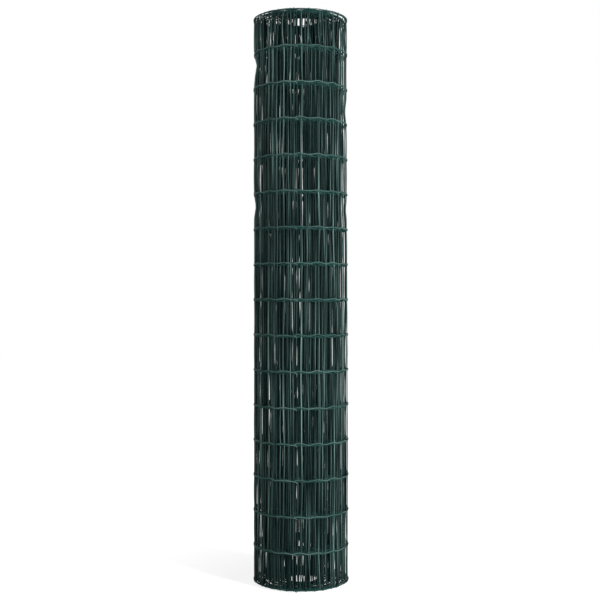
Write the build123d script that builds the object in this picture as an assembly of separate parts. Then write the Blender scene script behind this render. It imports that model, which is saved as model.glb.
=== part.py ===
from build123d import *
import math
import os

# A roll of coated welded wire mesh, standing on end. Millimetres, +Z up,
# the origin on the axis of the roll at the level that it stands on.

# Sizes of the mesh
COURSES = 16              # spaces between one line wire and the next, from end to end
COURSE_HEIGHT = 100.0     # spacing of the line wires, which run round the roll
WIRE_DIAMETER = 2.5       # over the coating, the same for uprights and line wires
WELD_SINK = 0.5           # depth to which a line wire is pressed into the uprights
UPRIGHT_OVERHANG = 3.0    # from the centre of an edge line wire to the uprights' cut ends

# Sizes of the winding
OUTER_DIAMETER = 276.0    # over the line wires of the last turn
CORE_DIAMETER = 80.0      # open core, left where the winding spindle was drawn out
END_RINGS = 14            # wound rings that show on each end
TURN_STAGGER = 5.0        # how far each ring has slid along the roll past its neighbours

# Sizes that follow
WIRE_CREST = WIRE_DIAMETER / 2    # width of the flat that stands for a round wire's crest
CORE_RADIUS = CORE_DIAMETER / 2
LINE_WIRE_CREST = OUTER_DIAMETER / 2
WOUND_RADIUS = LINE_WIRE_CREST - WIRE_DIAMETER + WELD_SINK
RING_WIDTH = (WOUND_RADIUS - CORE_RADIUS) / END_RINGS
SHEET_HEIGHT = COURSES * COURSE_HEIGHT + 2 * UPRIGHT_OVERHANG
ROLL_HEIGHT = SHEET_HEIGHT + TURN_STAGGER


def wound_ring(number):
    """Half section of one wound ring. Number 0 is the last turn, and every second ring sits low."""
    radius = WOUND_RADIUS - (number + 0.5) * RING_WIDTH
    foot = TURN_STAGGER if number % 2 == 0 else 0
    return Pos(radius, foot + SHEET_HEIGHT / 2) * Rectangle(RING_WIDTH, SHEET_HEIGHT)


def line_wire(course):
    """Half section of one line wire of the last turn, a round wire drawn with few sides."""
    height = TURN_STAGGER + UPRIGHT_OVERHANG + course * COURSE_HEIGHT
    root = WIRE_DIAMETER / 2
    crest = WIRE_CREST / 2
    corners = [
        (WOUND_RADIUS, height - root),
        (LINE_WIRE_CREST, height - crest),
        (LINE_WIRE_CREST, height + crest),
        (WOUND_RADIUS, height + root),
    ]
    return make_face(Polyline(*corners, close=True))


def mesh_roll():
    """The whole roll, turned from its half section about the vertical axis."""
    rings = [wound_ring(number) for number in range(END_RINGS)]
    wires = [line_wire(course) for course in range(COURSES + 1)]
    section = Sketch() + rings + wires
    return revolve(Plane.XZ * section, axis=Axis.Z, revolution_arc=360)


os.makedirs("parts", exist_ok=True)
roll = mesh_roll()
export_step(roll, "parts/mesh_roll.step")
print("roll", ROLL_HEIGHT, "mm high,", OUTER_DIAMETER, "mm across, volume", round(roll.volume))
print("last turn", round(2 * math.pi * WOUND_RADIUS), "mm round, rings", round(RING_WIDTH, 2), "mm wide")
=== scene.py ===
# %% [markdown]
# # A roll of coated welded wire mesh
#
# The real thing is one long sheet of garden fence. Steel wires are welded into a grid with openings of
# 100 by 50 mm, coated with dark green plastic, and wound up tight on a spindle that is then drawn out.
# From outside it is a dark pack of upright wires, crossed every 100 mm by a line wire that runs round it.
# A picture of wires on a plain cylinder would look right from one side only, because daylight falls
# through the gaps and the ends show every turn. So each wire here is a real round wire, and the whole
# sheet is wound up by a few lines of arithmetic.

# %% Load the fixed frame
import math
import bpy
import numpy as np
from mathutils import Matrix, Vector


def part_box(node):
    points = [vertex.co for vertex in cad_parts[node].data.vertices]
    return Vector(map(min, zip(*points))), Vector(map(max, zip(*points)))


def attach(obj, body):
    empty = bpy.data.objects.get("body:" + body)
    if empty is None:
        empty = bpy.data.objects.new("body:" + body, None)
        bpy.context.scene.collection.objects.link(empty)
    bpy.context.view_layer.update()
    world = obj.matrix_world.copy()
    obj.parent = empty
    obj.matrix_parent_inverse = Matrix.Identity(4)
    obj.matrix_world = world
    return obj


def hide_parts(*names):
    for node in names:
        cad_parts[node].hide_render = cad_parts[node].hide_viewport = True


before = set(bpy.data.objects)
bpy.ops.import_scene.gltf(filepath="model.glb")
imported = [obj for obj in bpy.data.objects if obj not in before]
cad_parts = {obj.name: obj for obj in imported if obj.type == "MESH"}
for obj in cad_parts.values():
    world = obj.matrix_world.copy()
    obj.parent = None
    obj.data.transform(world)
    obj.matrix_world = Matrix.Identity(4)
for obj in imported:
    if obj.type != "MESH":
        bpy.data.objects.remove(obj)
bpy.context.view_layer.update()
CAD_NODE = "mesh_roll"

# %% [markdown]
# ## Sizes of the sheet
#
# The frame gives the height of the roll and its width over the outermost line wires.
# The rest is what such a mesh measures. The sheet is lower than the roll, because the last turn has
# slid up past the turns inside it, as rolls do when they are handled.

# %% Sizes of the sheet and of the roll
COURSES = 16               # spaces between one line wire and the next
COURSE_HEIGHT = 0.100      # spacing of the line wires
UPRIGHT_SPACING = 0.050    # spacing of the uprights along the sheet
OVERHANG = 0.003           # from an edge line wire to the cut ends of the uprights
WIRE = 0.0025              # wire diameter over the plastic
STEEL = 0.0020             # wire diameter of the steel inside
WELD_SINK = 0.0005         # depth to which a line wire is pressed into an upright
SHEET_LENGTH = 20.0
INNERMOST_RADIUS = 0.0415  # about where the innermost wires lie, clear of the open core's 40 mm

box_low, box_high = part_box(CAD_NODE)
OUTER_RADIUS = box_high.x
SHEET_HEIGHT = COURSES * COURSE_HEIGHT + 2 * OVERHANG
STAGGER = box_high.z - box_low.z - SHEET_HEIGHT
LINE_WIRE_OFFSET = WIRE - WELD_SINK
LAST_TURN_RADIUS = OUTER_RADIUS - LINE_WIRE_OFFSET - WIRE / 2
UPRIGHTS = round(SHEET_LENGTH / UPRIGHT_SPACING)
print("uprights", UPRIGHTS, "last turn slid up by", round(1000 * STAGGER, 1), "mm")

# %% [markdown]
# ## The camera
#
# The picture is a level shot from far away. The bend of the top and bottom edges gives the distance,
# and the spacing of the line wires at the front gives the focal length. A new camera points straight
# down, so a quarter turn makes it look level.

# %% The camera
PHOTO_WIDTH = 600
FOCAL_PIXELS = 1054.0
CAMERA_DISTANCE = 3.03     # from the axis of the roll
CAMERA_HEIGHT = 0.8066
PHOTO_AXIS_X = 301.25      # where the axis of the roll stands in the photo
SENSOR = 36.0
QUARTER_TURN = math.radians(90)

camera_data = bpy.data.cameras.new("photo_camera")
camera_data.sensor_width = SENSOR
camera_data.lens = FOCAL_PIXELS / PHOTO_WIDTH * SENSOR
camera = bpy.data.objects.new("photo_camera", camera_data)
bpy.context.scene.collection.objects.link(camera)
sideways = (PHOTO_WIDTH / 2 - PHOTO_AXIS_X) / FOCAL_PIXELS * CAMERA_DISTANCE
camera.location = (sideways, -CAMERA_DISTANCE, CAMERA_HEIGHT)
camera.rotation_euler = (QUARTER_TURN, 0, 0)
bpy.context.scene.camera = camera
print("lens", round(camera_data.lens, 1), "mm")

# %% [markdown]
# ## Winding up the sheet
#
# A wound sheet is a spiral. Its length fixes the mean distance between turns, because the sheet has to
# fill the ring between the core and the last turns. Walking along the spiral by one upright spacing at a
# time gives each upright its turning angle and its radius. The turns are never quite even, so their
# distances vary a little. The outer, middle and inner turns have a seed each, and the three together
# give a winding whose chinks lie about where the photo's do.

# %% Wind up the sheet
LOOSE_PITCH = 0.0018       # distance between the last turns
PITCH_SPREAD = 0.10        # how uneven the other turns are
TURN_GROUPS = [12, 12, 36]           # more turns than the sheet has, so that it never runs out
TURN_SEEDS = [57673, 5459, 1470]     # one for each group, from the outside inwards
MOST_TURNS = sum(TURN_GROUPS)
turn_rngs = [np.random.default_rng(seed) for seed in TURN_SEEDS]


def drawn(draw):
    """Random values for all turns, where draw gives those of one group."""
    return np.concatenate([draw(rng, rows) for rng, rows in zip(turn_rngs, TURN_GROUPS)])


uneven = drawn(lambda rng, rows: rng.standard_normal(rows))


def spiral_radii():
    """Radius of the sheet after 0, 1, 2 ... whole turns, from the last turn inwards."""
    second, third = LAST_TURN_RADIUS - LOOSE_PITCH, LAST_TURN_RADIUS - 2 * LOOSE_PITCH
    outer_length = math.pi * (LAST_TURN_RADIUS + 2 * second + third)
    pitch = math.pi * (third**2 - INNERMOST_RADIUS**2) / (SHEET_LENGTH - outer_length)
    print("mean distance between turns", round(1000 * pitch, 2), "mm")
    inner = third - np.cumsum(pitch * (1 + PITCH_SPREAD * uneven))
    return np.concatenate([[LAST_TURN_RADIUS, second, third], inner])


def wind_up(radii):
    """Turning angle of each upright, from the free end inwards."""
    whole_turns = np.arange(len(radii))
    angles, angle = [], 0.0
    for _ in range(UPRIGHTS):
        angles.append(angle)
        radius = np.interp(angle / (2 * math.pi), whole_turns, radii)
        angle += UPRIGHT_SPACING / radius
    return np.array(angles)


radii = spiral_radii()
turning = wind_up(radii)
turn = turning / (2 * math.pi)
radius = np.interp(turn, np.arange(len(radii)), radii)
print("turns", round(turn[-1], 1), "innermost radius", round(radius[-1], 4))

# %% [markdown]
# ## How the turns lean and slide
#
# Two things keep the real roll from being a perfect spiral. First, each course winds up a touch tighter
# or looser than the next, so deeper in the pack an upright leans a few millimetres to one side.
# Soft random waves over the height say how much, and the leans add up from turn to turn. Second, the
# turns slide along each other: the last turn stands highest, and those inside wander up and down
# between its height and the floor.

# %% Leans and slides
LEAN_STEP = 0.0004         # how much lean each turn adds
LEAN_WAVES = np.array([2.3, 1.1, 0.55])     # lengths of the waves
RADIAL_RIPPLE = 0.0003     # how far a turn swells or shrinks from course to course
LAST_TURN_HELD = 0.9       # share of the last turn that stands at its full height
SLIDE_LENGTH = 0.35        # turns over which a slide changes
WANDER = (-0.2, 1.2)       # cut off at 0 and 1, so some turns stand right down or right up
SMALL_FAULTS_SEED = 1707
node_height = OVERHANG + COURSE_HEIGHT * np.arange(COURSES + 1)


def soft_waves():
    """One soft random curve over the height of the roll for each turn."""
    size = drawn(lambda rng, rows: rng.standard_normal((rows, len(LEAN_WAVES), 1)))
    phase = drawn(lambda rng, rows: rng.uniform(0, 2 * math.pi, (rows, len(LEAN_WAVES), 1)))
    waves = np.sin(2 * math.pi * node_height / LEAN_WAVES[:, None] + phase)
    return (size * waves).sum(axis=1) / math.sqrt(len(LEAN_WAVES) / 2)


def between_turns(table):
    """Values for the uprights from a table with one row for each whole turn."""
    below = turn.astype(int)
    part = (turn - below)[:, None]
    return table[below] * (1 - part) + table[below + 1] * part


def smooth_step(value, start, end):
    """0 before the start, 1 after the end, and a soft rise between them."""
    part = np.clip((value - start) / (end - start), 0, 1)
    return part * part * (3 - 2 * part)


lean = between_turns(np.cumsum(LEAN_STEP * soft_waves(), axis=0))
ripple = between_turns(RADIAL_RIPPLE * soft_waves())
rng = np.random.default_rng(SMALL_FAULTS_SEED)
steps_along = np.arange(0, MOST_TURNS, SLIDE_LENGTH)
wander = np.clip(rng.uniform(*WANDER, len(steps_along)), 0, 1)
held = 1 - smooth_step(turn, LAST_TURN_HELD, LAST_TURN_HELD + SLIDE_LENGTH)
slide = STAGGER * (held + (1 - held) * np.interp(turn, steps_along, wander))
print("slides from", round(1000 * slide.min(), 2), "to", round(1000 * slide.max(), 2), "mm")

# %% [markdown]
# ## The pack as it was handled
#
# The outline isn't the same all the way up. The right side is slimmer at the top than at the bottom.
# Handling has pushed the turns together at both sides, so the sides are dense and dark.
# The pack has also moved a little to the left inside its last turns, and at the top right it is pressed
# in further, so daylight falls through there. Both sides have shallow dents, the deepest on the left in
# the second course from the top. One function bends any point of the perfect spiral to these faults, so
# the uprights and the line wires move together and stay welded.

# %% Handling faults
FREE_END_ANGLE = math.radians(-8.7)  # plan angle of the first upright; 0 is the front
SLIM_TOP = 0.0042          # how much slimmer the right side is at the top
SLIM_FROM, SLIM_TO = 0.3, 1.45       # heights between which it gets slimmer
INNER_GAP = 0.0040         # how far the inner turns are pressed in off the last three, at the top right
INNER_FROM, INNER_TO = 2.85, 3.3     # turns over which that sets in
PACK_SHIFT = 0.0010        # how far the turns inside the last three have moved to the left together
DRIFT_LEFT = 0.0034        # how much further the turns have moved by the time they lie DRIFTED deep
DRIFTED = 6                # in turns
SIDE_SQUEEZE = 0.0070      # how much closer to the last turn they lie there at both sides
CORE_FROM, CORE_TO = 14, 30          # turns over which these shifts fade out again
FADE_INWARDS = 3           # power of the radius by which slimming and dents fade towards the core
DENTS = [                  # height, plan angle, depth and half height
    (1.472, -90, 0.0090, 0.026),
    (1.074, -90, 0.0055, 0.022),
    (1.347, 90, 0.0050, 0.028),
    (1.065, 90, 0.0030, 0.020),
]
DENT_HALF_WIDTH = math.radians(28)


def place(angle, radius, height, turn):
    """Point of the handled roll for a plan angle, radius, height and turn number of the spiral."""
    right = np.clip(np.sin(angle), 0, None) ** 2
    high = smooth_step(height, SLIM_FROM, SLIM_TO)
    inside = smooth_step(turn, INNER_FROM, INNER_TO)
    pressed = right * high * (SLIM_TOP + INNER_GAP * inside)
    for dent_height, side, depth, half_height in DENTS:
        away = np.arccos(np.clip(np.cos(angle - math.radians(side)), -1, 1))
        dent = np.exp(-((height - dent_height) / half_height) ** 2 - (away / DENT_HALF_WIDTH) ** 2)
        pressed = pressed + depth * dent
    drifted = np.minimum(turn / DRIFTED, 1)
    packed = 1 - smooth_step(turn, CORE_FROM, CORE_TO)
    pressed = pressed * (radius / LAST_TURN_RADIUS) ** FADE_INWARDS
    real = radius - pressed + SIDE_SQUEEZE * drifted * packed * np.sin(angle) ** 2
    aside = (PACK_SHIFT * inside + DRIFT_LEFT * drifted) * packed
    x = real * np.sin(angle) - aside
    y = -real * np.cos(angle)
    return np.stack(np.broadcast_arrays(x, y, height), axis=-1)


side_points = place(np.array([-QUARTER_TURN, QUARTER_TURN]), LAST_TURN_RADIUS, SHEET_HEIGHT, 0.0)
print("sides of the last turn at the top", [round(x, 4) for x in side_points[:, 0].tolist()])

# %% [markdown]
# ## A round wire
#
# A wire is a tube swept along its centre line. Blender's curves with a round bevel could make it, but
# here thousands of bends are already known as arrays, so the tube's corners are worked out for all
# wires at once. At each point of the line a ring of corners stands square to the wire's direction,
# and neighbouring rings are joined by four-sided faces. At a cut end a narrow ring of plastic
# surrounds the disc of bare steel, which gets its own material.

# %% Sweep round wires along their centre lines
COAT, STEEL_END = 0, 1     # material numbers of the tube and of its cut ends


def unit(vectors):
    """The same directions with a length of one."""
    return vectors / np.linalg.norm(vectors, axis=-1, keepdims=True)


def sweep(lines, marks, first_side, sides):
    """Corners, what the marks say at each, faces, materials and smooth flags of wires along lines."""
    wires, points, _ = lines.shape
    along = unit(np.gradient(lines, axis=1))
    out = unit(first_side - (first_side * along).sum(-1, keepdims=True) * along)
    across = np.cross(along, out)
    corner_angle = 2 * math.pi * np.arange(sides) / sides
    spoke = (
        out[:, :, None] * np.cos(corner_angle)[:, None]
        + across[:, :, None] * np.sin(corner_angle)[:, None]
    )
    tube = lines[:, :, None] + WIRE / 2 * spoke
    rim = lines[:, [0, -1], None] + STEEL / 2 * spoke[:, [0, -1]]
    number = np.arange(wires * points * sides).reshape(wires, points, sides)
    rim_number = number.size + np.arange(wires * 2 * sides).reshape(wires, 2, sides)
    ahead = np.roll(number, -1, axis=2)
    rim_ahead = np.roll(rim_number, -1, axis=2)

    def quads(*corners):
        return np.stack(corners, axis=-1).reshape(-1, 4)

    skin = quads(number[:, :-1], ahead[:, :-1], ahead[:, 1:], number[:, 1:])
    foot = quads(number[:, 0], rim_number[:, 0], rim_ahead[:, 0], ahead[:, 0])
    head = quads(number[:, -1], ahead[:, -1], rim_ahead[:, 1], rim_number[:, 1])
    discs = [row[::-1] for row in rim_number[:, 0].tolist()] + rim_number[:, 1].tolist()
    plastic = np.concatenate([skin, foot, head])
    corners = np.concatenate([tube.reshape(-1, 3), rim.reshape(-1, 3)])
    corner_marks = {}
    for name, at_points in marks.items():
        at_ends = at_points[:, [0, -1]]
        corner_marks[name] = np.concatenate([at_points.ravel(), at_ends.ravel()]).repeat(sides)
    material = [COAT] * len(plastic) + [STEEL_END] * len(discs)
    smooth = [True] * len(skin) + [False] * (len(plastic) - len(skin) + len(discs))
    return corners, corner_marks, plastic.tolist() + discs, material, smooth


def wire_piece(name, swept, coat):
    """One object from a sweep, dressed in its coat and bare steel, riding on the roll."""
    corners, corner_marks, faces, material, smooth = swept
    mesh = bpy.data.meshes.new(name)
    mesh.from_pydata(corners, [], faces)
    for mark, values in corner_marks.items():
        mesh.attributes.new(mark, "FLOAT", "POINT").data.foreach_set("value", values)
    mesh.polygons.foreach_set("material_index", material)
    mesh.polygons.foreach_set("use_smooth", smooth)
    mesh.materials.append(coat)
    mesh.materials.append(cut_steel)
    piece = bpy.data.objects.new(name, mesh)
    bpy.context.scene.collection.objects.link(piece)
    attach(piece, "root")
    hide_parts(CAD_NODE)
    print(name, "has", sum(len(face) - 2 for face in faces), "triangles")


print("a wire's plastic is", round(1000 * (WIRE - STEEL) / 2, 2), "mm thick")

# %% [markdown]
# ## Helpers for the materials
#
# A material is a tree of nodes joined by links. The finishes below make the same few moves again and
# again: add a node, do a sum, make a noise, mix two colours, stretch a value from one range to another.
# Written out each time they would hide what the finish is about, so each is a short function here.

# %% Helpers for the materials
MIX_SHARE, MIX_FIRST, MIX_SECOND, MIX_RESULT = 0, 6, 7, 2     # sockets of a Mix node set to colours
COARSE, FINE = 2, 3        # layers of detail in a noise
MOST_NOISE = (0.3, 0.7)    # the range that most of a noise's values lie in


def node(tree, kind, **settings):
    """A new node with some of its settings changed."""
    made = tree.nodes.new(kind)
    for key, value in settings.items():
        setattr(made, key, value)
    return made


def feed(tree, value, wanted):
    """Link another node's output to an input, or set the input to a plain number or colour."""
    if isinstance(value, bpy.types.NodeSocket):
        tree.links.new(value, wanted)
    else:
        wanted.default_value = value


def math_node(tree, operation, first, second):
    """The result of one sum."""
    made = node(tree, "ShaderNodeMath", operation=operation)
    feed(tree, first, made.inputs[0])
    feed(tree, second, made.inputs[1])
    return made.outputs[0]


def noise(tree, where, scale, detail):
    """Cloudy random values, with about so many clouds to the metre."""
    made = node(tree, "ShaderNodeTexNoise")
    feed(tree, where, made.inputs["Vector"])
    feed(tree, scale, made.inputs["Scale"])
    feed(tree, detail, made.inputs["Detail"])
    return made.outputs["Fac"]


def blend(tree, share, first, second):
    """The first colour where the share is 0, the second where it is 1."""
    made = node(tree, "ShaderNodeMix", data_type="RGBA")
    feed(tree, share, made.inputs[MIX_SHARE])
    feed(tree, first, made.inputs[MIX_FIRST])
    feed(tree, second, made.inputs[MIX_SECOND])
    return made.outputs[MIX_RESULT]


def spread(tree, value, low, high, to_low=0.0, to_high=1.0):
    """The value stretched from the range low to high onto another range, and cut off at its ends."""
    made = node(tree, "ShaderNodeMapRange")
    feed(tree, value, made.inputs["Value"])
    feed(tree, low, made.inputs["From Min"])
    feed(tree, high, made.inputs["From Max"])
    feed(tree, to_low, made.inputs["To Min"])
    feed(tree, to_high, made.inputs["To Max"])
    return made.outputs["Result"]


def bump(tree, shader, height, strength, distance):
    """Fine relief on a shader, from a height."""
    made = node(tree, "ShaderNodeBump")
    feed(tree, height, made.inputs["Height"])
    feed(tree, strength, made.inputs["Strength"])
    feed(tree, distance, made.inputs["Distance"])
    feed(tree, made.outputs["Normal"], shader.inputs["Normal"])


print("most of a noise lies between", *MOST_NOISE)

# %% [markdown]
# ## The finish of the wires
#
# The plastic is a dark blue-green with a dull satin shine, and no two wires are quite alike: each wire
# carries its own tone, which drifts from course to course. The wires of the deeper turns are painted
# dark, a painted shade for the inside of the pack, and dust lies on the tops of the line wires. Two
# numbers on each corner of the mesh, the turn and the tone, say where a wire lies and how pale it is.
# Uprights and line wires share this effect with different amounts, so it is one node group with named
# inputs, which puts out a colour, a roughness and a height for the bump.

# %% The shared effect of dusty plastic, with painted shade on the deeper turns
# Painted shade: the covered turns keep only this share of the pale tone, so they are painted dark.
PALE_LEFT_IN_SHADE = 0.10             # share of the paler tone that is left on the covered turns
DUST_SCALE = 60            # patches of dust to the metre
DUST_SETS_IN = (0.45, 0.75)          # noise values between which the dust thickens
LOOKS_UP = (0.2, 1.0)      # upward part of a face's direction over which it gathers dust
SIDE_DUST = 0.25           # share of the dust on faces that look sideways or down
SHINE_SCALE = 400
SHINE = (0.34, 0.5)        # roughness of clean plastic, from its shiniest to its dullest
DUST_DULLS = 0.4           # roughness that full dust adds
GRAIN_SCALE = 900


def dusty_plastic_with_shade_group():
    """What both coats share: each wire's tone, painted shade on the deeper turns, dust and uneven shine.
    """
    group = bpy.data.node_groups.new("dusty_plastic_with_shade", "ShaderNodeTree")
    for name in ("Dark Tone", "Light Tone", "Dust Tone"):
        group.interface.new_socket(name=name, in_out="INPUT", socket_type="NodeSocketColor")
    for name in ("Dust", "Shade From", "Shade To"):
        group.interface.new_socket(name=name, in_out="INPUT", socket_type="NodeSocketFloat")
    group.interface.new_socket(name="Color", in_out="OUTPUT", socket_type="NodeSocketColor")
    for name in ("Roughness", "Height"):
        group.interface.new_socket(name=name, in_out="OUTPUT", socket_type="NodeSocketFloat")
    given = node(group, "NodeGroupInput").outputs
    wanted = node(group, "NodeGroupOutput").inputs
    where = node(group, "ShaderNodeTexCoord").outputs["Object"]
    # Painted shade: the pale tone stays on the last turns only, and the covered turns are painted dark.
    tone = node(group, "ShaderNodeAttribute", attribute_name="tone").outputs["Fac"]
    turn_number = node(group, "ShaderNodeAttribute", attribute_name="turn").outputs["Fac"]
    unshaded_share = spread(group, turn_number, given["Shade From"], given["Shade To"], 1.0, PALE_LEFT_IN_SHADE)
    share = math_node(group, "MULTIPLY", tone, unshaded_share)
    coat = blend(group, share, given["Dark Tone"], given["Light Tone"])
    # Dust lies in patches, and more of it on what looks up.
    patches = spread(group, noise(group, where, DUST_SCALE, FINE), *DUST_SETS_IN)
    facing = node(group, "ShaderNodeSeparateXYZ")
    feed(group, node(group, "ShaderNodeNewGeometry").outputs["Normal"], facing.inputs[0])
    lying = spread(group, facing.outputs["Z"], *LOOKS_UP, SIDE_DUST, 1.0)
    dust = math_node(group, "MULTIPLY", math_node(group, "MULTIPLY", patches, lying), given["Dust"])
    feed(group, blend(group, dust, coat, given["Dust Tone"]), wanted["Color"])
    # The shine is uneven, and dust dulls it.
    clean = spread(group, noise(group, where, SHINE_SCALE, COARSE), *MOST_NOISE, *SHINE)
    dulled = math_node(group, "ADD", clean, math_node(group, "MULTIPLY", dust, DUST_DULLS))
    feed(group, dulled, wanted["Roughness"])
    feed(group, noise(group, where, GRAIN_SCALE, FINE), wanted["Height"])
    return group


dusty_plastic_with_shade = dusty_plastic_with_shade_group()
print("shared effect", dusty_plastic_with_shade.name, "has", len(dusty_plastic_with_shade.nodes), "nodes")

# %% [markdown]
# ## The two coats
#
# The uprights run from nearly black to a pale grey green. The pale ones stand in the first few turns from
# the outside, and the deeper turns are all painted dark, a painted shade. The line wires are more even,
# and only those of the last turn are pale; those of the covered turns are painted dark as shade. Both
# coats take the shared effect with their own tones, and the shader itself stays in each material.

# %% The plastic of the uprights and of the line wires
DUST_TONE = (0.20, 0.235, 0.225, 1)
# The dark tones are also the painted shade of the deeper turns.
UPRIGHT_DARK, UPRIGHT_PALE = (0.004, 0.022, 0.021, 1), (0.205, 0.345, 0.322, 1)
LINE_WIRE_DARK, LINE_WIRE_PALE = (0.013, 0.062, 0.056, 1), (0.117, 0.205, 0.184, 1)
UPRIGHT_DUST, LINE_WIRE_DUST = 0.25, 0.4
UPRIGHT_SHADE_TURNS = (3.0, 10.0)          # turns over which the pale tone gives way to the dark one, the painted shade of the pack
# The line wires of the covered turns are painted dark as well: painted shade under the last turn.
LINE_WIRE_SHADE_TURNS = (1.0, 1.15)
GRAIN_STRENGTH, GRAIN_DEPTH = 0.25, 0.0002
COAT_SPECULAR = 0.06       # the dull plastic throws back little of what stands round it


def new_material(name):
    """A new material with its node tree and its shader."""
    material = bpy.data.materials.new(name)
    material.use_nodes = True
    return material, material.node_tree, material.node_tree.nodes["Principled BSDF"]


def plastic_coat(name, dark, pale, dust, shade_turns):
    """A coat of plastic with its own tones, dust and painted shade on the deeper turns."""
    material, tree, shader = new_material(name)
    effect = node(tree, "ShaderNodeGroup", node_tree=dusty_plastic_with_shade)
    feed(tree, dark, effect.inputs["Dark Tone"])
    feed(tree, pale, effect.inputs["Light Tone"])
    feed(tree, DUST_TONE, effect.inputs["Dust Tone"])
    feed(tree, dust, effect.inputs["Dust"])
    feed(tree, shade_turns[0], effect.inputs["Shade From"])
    feed(tree, shade_turns[1], effect.inputs["Shade To"])
    feed(tree, effect.outputs["Color"], shader.inputs["Base Color"])
    feed(tree, effect.outputs["Roughness"], shader.inputs["Roughness"])
    bump(tree, shader, effect.outputs["Height"], GRAIN_STRENGTH, GRAIN_DEPTH)
    shader.inputs["Specular IOR Level"].default_value = COAT_SPECULAR
    return material


upright_coat = plastic_coat("upright_coat", UPRIGHT_DARK, UPRIGHT_PALE, UPRIGHT_DUST, UPRIGHT_SHADE_TURNS)
line_wire_coat = plastic_coat(
    "line_wire_coat", LINE_WIRE_DARK, LINE_WIRE_PALE, LINE_WIRE_DUST, LINE_WIRE_SHADE_TURNS
)
print("coats", upright_coat.name, "and", line_wire_coat.name)

# %% [markdown]
# ## The bare steel
#
# Where a wire was cut, the steel core shows: it is grey, a little rough from the shear, and dulled with
# brown where it has begun to rust. The rust comes in patches about as wide as the wire, so no two ends
# look alike.

# %% The steel of the cut ends
STEEL_GREY, RUST_BROWN = (0.42, 0.43, 0.43, 1), (0.16, 0.09, 0.05, 1)
RUST_SCALE = 700
RUST_SETS_IN = (0.5, 0.7)  # noise values between which steel turns to rust
SHEAR_SCALE = 1500
SHEAR_ROUGHNESS = (0.35, 0.6)
SCRATCH_SCALE = 2500
SCRATCH_STRENGTH, SCRATCH_DEPTH = 0.3, 0.0001
STEEL_METALLIC = 0.9


def bare_steel():
    """Cut steel with the first rust on it."""
    material, tree, shader = new_material("cut_steel")
    where = node(tree, "ShaderNodeTexCoord").outputs["Object"]
    rusted = spread(tree, noise(tree, where, RUST_SCALE, FINE), *RUST_SETS_IN)
    feed(tree, blend(tree, rusted, STEEL_GREY, RUST_BROWN), shader.inputs["Base Color"])
    rough = spread(tree, noise(tree, where, SHEAR_SCALE, COARSE), *MOST_NOISE, *SHEAR_ROUGHNESS)
    feed(tree, rough, shader.inputs["Roughness"])
    bump(tree, shader, noise(tree, where, SCRATCH_SCALE, COARSE), SCRATCH_STRENGTH, SCRATCH_DEPTH)
    shader.inputs["Metallic"].default_value = STEEL_METALLIC
    return material


cut_steel = bare_steel()
print("cut ends", cut_steel.name)

# %% [markdown]
# ## What has happened to the uprights
#
# An upright is held at each weld and free in between, so within a course it bows a little, in or out
# and to either side. The welds themselves sit a touch to the left or right of their even places.
# Both ends of the roll look ragged: the wires there have been knocked further aside, the top course is
# the most bent of all, and the edges of the covered turns have been pushed in here and there.
# Each upright also has its own tone at each weld. Seeded random numbers give all of these.

# %% The small faults and the tones of the uprights
BOW_RADIAL = 0.0005
BOW_SIDEWAYS = 0.0006
TOP_COURSE_BOW = [[4.5], [2.5]]      # how much more the top course bows, sideways and outwards
WELD_KINK = 0.0007         # how far a weld sits off its even place along the line wire
END_KINK = 4.5             # how much further the welds at both ends have been knocked
RUFFLE = 0.0012            # how far the covered turns' edges are pushed in, more or less at each upright
EDGE_SEED = 4
DARK_BIAS = 2              # a power that leaves many wires dark and few pale
DARKER_LAST_TURN = [0.9, 1.3]           # the last turn is painted darker than the next, a painted shade that tones down its fuller light
LAST_TURN_SHADE = 0.45
EDGE_TONE = 0.3            # both ends of the roll are darker as well

bows = rng.standard_normal((2, UPRIGHTS, COURSES))
bows[:, :, -1] *= TOP_COURSE_BOW
kinks = WELD_KINK * rng.standard_normal((UPRIGHTS, COURSES + 1))
kinks[:, [0, -1]] *= END_KINK
upright_tones = rng.uniform(0, 1, (UPRIGHTS, COURSES + 1)) ** DARK_BIAS
# Painted shade: the uprights of the last turn are painted darker.
upright_tones *= np.interp(turn, DARKER_LAST_TURN, [LAST_TURN_SHADE, 1])[:, None]
upright_tones[:, [0, -1]] *= EDGE_TONE
ruffle = RUFFLE * (1 - held) * np.random.default_rng(EDGE_SEED).uniform(0, 1, (2, UPRIGHTS))
print("mean tone of the uprights", round(upright_tones.mean(), 2))

# %% [markdown]
# ## The uprights
#
# A bow is half a sine wave from weld to weld, added to the lean and the kinks of the welds at its ends.
# Past the edge line wires a short straight stub runs on to the cut end. The sheet has 400 uprights.
# Those of the last turns are seen close up and get more sides and points than the ones deep in the
# pack, so they are two objects.

# %% The uprights
NEAR_TURNS = 3
NEAR_STEPS, NEAR_SIDES = 8, 8        # steps in a course and sides of a wire in the last turns
DEEP_STEPS, DEEP_SIDES = 3, 5


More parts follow.
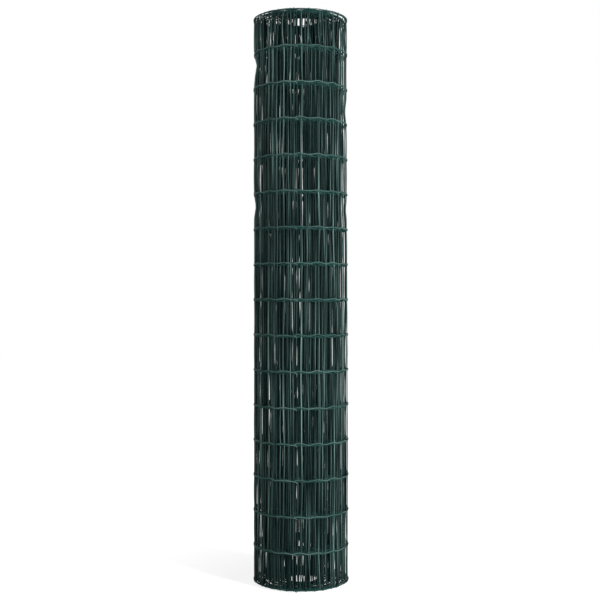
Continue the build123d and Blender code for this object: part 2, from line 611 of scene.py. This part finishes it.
def upright_lines(chosen, steps):
    """Centre lines of the chosen uprights, with so many steps in each course."""
    at = np.arange(COURSES * steps + 1) / steps
    course = np.minimum(at.astype(int), COURSES - 1)
    part = at - course
    bulge = np.sin(math.pi * part)

    def along_course(table):
        return table[:, course] * (1 - part) + table[:, course + 1] * part

    sideways = along_course((lean + kinks)[chosen]) + BOW_SIDEWAYS * bulge * bows[0][chosen][:, course]
    out = along_course(ripple[chosen]) + BOW_RADIAL * bulge * bows[1][chosen][:, course]
    middle = radius[chosen][:, None]
    angle = FREE_END_ANGLE - turning[chosen][:, None] + sideways / middle
    height = slide[chosen][:, None] + OVERHANG + COURSE_HEIGHT * at
    height += ruffle[0][chosen][:, None] * np.clip(1 - at, 0, 1)
    height -= ruffle[1][chosen][:, None] * np.clip(at - COURSES + 1, 0, 1)
    line = place(angle, middle + out, height, turn[chosen][:, None])
    stub = np.array([0, 0, OVERHANG])
    return np.concatenate([line[:, :1] - stub, line, line[:, -1:] + stub], axis=1)


def swept_uprights(chosen, steps, sides):
    """The chosen uprights as round wires, marked with their turns and tones."""
    lines = upright_lines(chosen, steps)
    points = lines.shape[1]
    level = np.linspace(0, COURSES, points)
    tones = np.stack([np.interp(level, range(COURSES + 1), row) for row in upright_tones[chosen]])
    marks = {"turn": turn[chosen][:, None].repeat(points, axis=1), "tone": tones}
    outward = np.zeros_like(lines)
    outward[..., :2] = lines[..., :2]
    return sweep(lines, marks, outward, sides)


near = np.flatnonzero(turn < NEAR_TURNS)
deep = np.flatnonzero(turn >= NEAR_TURNS)
wire_piece("uprights_near", swept_uprights(near, NEAR_STEPS, NEAR_SIDES), upright_coat)
wire_piece("uprights_deep", swept_uprights(deep, DEEP_STEPS, DEEP_SIDES), upright_coat)

# %% [markdown]
# ## The crimps of the line wires
#
# A line wire lies outside the uprights and is welded to each of them. Between two welds it does not
# follow the full round of the roll but flattens a little, and it is crimped: it rises in a hump from
# one upright to the next, which keeps a stretched fence springy. The humps are never quite alike, and
# those of the two edge wires are low. Bends need more points than straight wire, so the line wires
# have several from weld to weld, and more of them in the last turns.

# %% The humps, the tones and the points of the line wires
CRIMP = 0.0038             # height of a hump
CRIMP_SPREAD = 0.25        # how uneven the humps are
EDGE_CRIMP = 0.28          # share of a hump that the two edge wires have
LINE_WIRE_TONES = (0.2, 1)
EDGE_WIRE_TONE = 0
STEPS_NEAR, STEPS_DEEP = 10, 7       # points from weld to weld

humps = CRIMP * (1 + CRIMP_SPREAD * rng.standard_normal((COURSES + 1, UPRIGHTS - 1)))
humps[[0, -1]] *= EDGE_CRIMP
line_wire_tones = rng.uniform(*LINE_WIRE_TONES, (COURSES + 1, UPRIGHTS))
line_wire_tones[[0, -1]] = EDGE_WIRE_TONE


def crimp_steps():
    """For each point along a line wire, the upright before it and the share of the way to the next."""
    before, part = [], []
    for number in range(UPRIGHTS - 1):
        steps = STEPS_NEAR if turn[number] < NEAR_TURNS else STEPS_DEEP
        before += [number] * steps
        part += list(np.arange(steps) / steps)
    return np.array(before + [UPRIGHTS - 2]), np.array(part + [1.0])


before, part = crimp_steps()
print("points on a line wire", len(before), "highest hump", round(1000 * humps.max(), 1), "mm")

# %% [markdown]
# ## The line wires
#
# Each line wire follows the welds through all the turns, from the free end inwards. At the free end it
# is cut just past the last upright, and the stub has been bent down and in. Four objects share the 17
# line wires by height, which keeps each of them light.

# %% The line wires
FLATTENING = 0.35          # share of the full round that is lost between two welds
HUMP_SINK = 0.25           # share of the mean hump by which the welds sit below their even height
LINE_WIRE_SIDES = 6
FREE_STUB = 0.0095         # length of the stub past the last upright
STUB_DROP = 0.0045         # how far its cut end is bent down
STUB_IN = 0.001            # and in
STUB_POINTS = 3
LINE_WIRE_SHARES = [(1, 4), (5, 8), (9, 12), (13, 17)]     # first and last line wire of each object


def line_wire(course):
    """Centre line of one line wire, from its free end inwards, with its turn numbers and tones."""
    def along_sheet(values):
        return values[before] * (1 - part) + values[before + 1] * part

    weld_angle = FREE_END_ANGLE - turning + (lean + kinks)[:, course] / radius
    middle = along_sheet(radius + ripple[:, course]) + LINE_WIRE_OFFSET
    # An arc between two welds rises over the straight line by its length squared over eight radii.
    rise = UPRIGHT_SPACING**2 / (8 * middle)
    sag = FLATTENING * rise * 4 * part * (1 - part)
    hump = humps[course][before] * (0.5 - 0.5 * np.cos(2 * math.pi * part))
    level = along_sheet(slide) + node_height[course] + hump - HUMP_SINK * humps[course].mean()
    if course == 0:
        level += along_sheet(ruffle[0])
    if course == COURSES:
        level -= along_sheet(ruffle[1])
    stub = np.linspace(1, 0, STUB_POINTS + 1)[:-1]
    angle = along_sheet(weld_angle)
    angle = np.concatenate([angle[0] + FREE_STUB * stub / middle[0], angle])
    at = middle - sag
    at = np.concatenate([at[0] - STUB_IN * stub**2, at])
    level = np.concatenate([level[0] - STUB_DROP * stub**2, level])
    turns = np.concatenate([np.zeros_like(stub), along_sheet(turn)])
    first_tone = line_wire_tones[course][0]
    tones = np.concatenate([np.full_like(stub, first_tone), along_sheet(line_wire_tones[course])])
    return place(angle, at, level, turns), turns, tones


def line_wire_piece(name, courses):
    """One object with the line wires of some courses."""
    made = [line_wire(course) for course in courses]
    lines, turns, tones = (np.stack(parts) for parts in zip(*made))
    upward = np.zeros_like(lines)
    upward[..., 2] = 1
    marks = {"turn": turns, "tone": tones}
    wire_piece(name, sweep(lines, marks, upward, LINE_WIRE_SIDES), line_wire_coat)


for first, last in LINE_WIRE_SHARES:
    line_wire_piece(f"line_wires_{first}_to_{last}", range(first - 1, last))

# %% [markdown]
# ## The floor
#
# The photo's background is pure white with no floor to be seen. A plain pale floor stays under the roll
# all the same, so that it stands on something. What the camera sees of it is brightened to white, and
# the light it throws back and the soft shadow it takes are those of pale card.

# %% The floor
FLOOR_HALF = 12.0
FLOOR_CORNERS = [(-1, -1, 0), (1, -1, 0), (1, 1, 0), (-1, 1, 0)]     # in halves of its width
CARD_SCALE = 3
CARD_SHADE = (0.78, 0.82)
CARD_ROUGHNESS = 0.9
SHADOW_NEAR, SHADOW_FAR = 0.2, 0.8   # the roll's soft shadow fades out between these distances
NEAR_WHITE = 0.8           # white that is added for the camera near the roll, where the shadow shows
WHITE = (1, 1, 1, 1)


def pale_card():
    """Pale card that the camera sees as white, apart from the roll's shadow."""
    material, tree, shader = new_material("pale_card")
    where = node(tree, "ShaderNodeTexCoord").outputs["Object"]
    shade = spread(tree, noise(tree, where, CARD_SCALE, COARSE), *MOST_NOISE, *CARD_SHADE)
    feed(tree, shade, shader.inputs["Base Color"])
    shader.inputs["Roughness"].default_value = CARD_ROUGHNESS
    shader.inputs["Specular IOR Level"].default_value = 0.0
    shader.inputs["Emission Color"].default_value = WHITE
    seen = node(tree, "ShaderNodeLightPath").outputs["Is Camera Ray"]
    away = node(tree, "ShaderNodeVectorMath", operation="LENGTH")
    feed(tree, where, away.inputs[0])
    white = spread(tree, away.outputs["Value"], SHADOW_NEAR, SHADOW_FAR, NEAR_WHITE, 1.0)
    feed(tree, math_node(tree, "MULTIPLY", seen, white), shader.inputs["Emission Strength"])
    return material


floor_corners = [[FLOOR_HALF * value for value in corner] for corner in FLOOR_CORNERS]
floor_mesh = bpy.data.meshes.new("floor")
floor_mesh.from_pydata(floor_corners, [], [range(4)])
floor_mesh.materials.append(pale_card())
floor = bpy.data.objects.new("floor", floor_mesh)
bpy.context.scene.collection.objects.link(floor)
print("floor", 2 * FLOOR_HALF, "m across")

# %% [markdown]
# ## The light
#
# Plain soft studio light: a dim even surround and two soft lamps in front, one on each side, a little
# taller than the roll. The right one is stronger, as the photo's right side is a little brighter. The
# side light leaves a dark edge on every wire, which is what parts one wire from the next. What the
# camera and the reflections see of the surround is white, as in the photo.

# %% The surround and the lamps
SURROUND = 0.05            # strength of the surround as a light
LAMP_WIDTH, LAMP_HEIGHT = 0.8, 1.9
LAMPS_AIM_AT = np.array([0, 0, 0.8])
KEY_PLACE, KEY_WATTS = (2.5, -2.3, 1.0), 136
FILL_PLACE, FILL_WATTS = (-2.4, -2.4, 1.0), 38


def studio_surround():
    """A world that is white to the eye and a dim light to the roll."""
    world = bpy.data.worlds.new("studio")
    world.use_nodes = True
    bpy.context.scene.world = world
    tree = world.node_tree
    sky = tree.nodes["Background"]
    rays = node(tree, "ShaderNodeLightPath").outputs
    seen = math_node(tree, "MAXIMUM", rays["Is Camera Ray"], rays["Is Glossy Ray"])
    seen = math_node(tree, "MAXIMUM", seen, rays["Is Transmission Ray"])
    feed(tree, spread(tree, seen, 0, 1, SURROUND, 1.0), sky.inputs["Strength"])
    sky.inputs["Color"].default_value = WHITE


def soft_lamp(name, lamp_place, power):
    """A tall soft lamp turned towards the middle of the roll."""
    data = bpy.data.lights.new(name, "AREA")
    data.shape = "RECTANGLE"
    data.size = LAMP_WIDTH
    data.size_y = LAMP_HEIGHT
    data.energy = power
    lamp = bpy.data.objects.new(name, data)
    bpy.context.scene.collection.objects.link(lamp)
    lamp.location = lamp_place
    aim = LAMPS_AIM_AT - np.array(lamp_place)
    turned = math.atan2(-aim[0], aim[1])
    raised = math.atan2(aim[2], math.hypot(aim[0], aim[1]))
    lamp.rotation_euler = (QUARTER_TURN + raised, 0, turned)
    print(name, "has", power, "watts and is turned by", round(math.degrees(turned)), "degrees")


studio_surround()
soft_lamp("key_lamp", KEY_PLACE, KEY_WATTS)
soft_lamp("fill_lamp", FILL_PLACE, FILL_WATTS)
bpy.context.scene.view_settings.view_transform = "Standard"
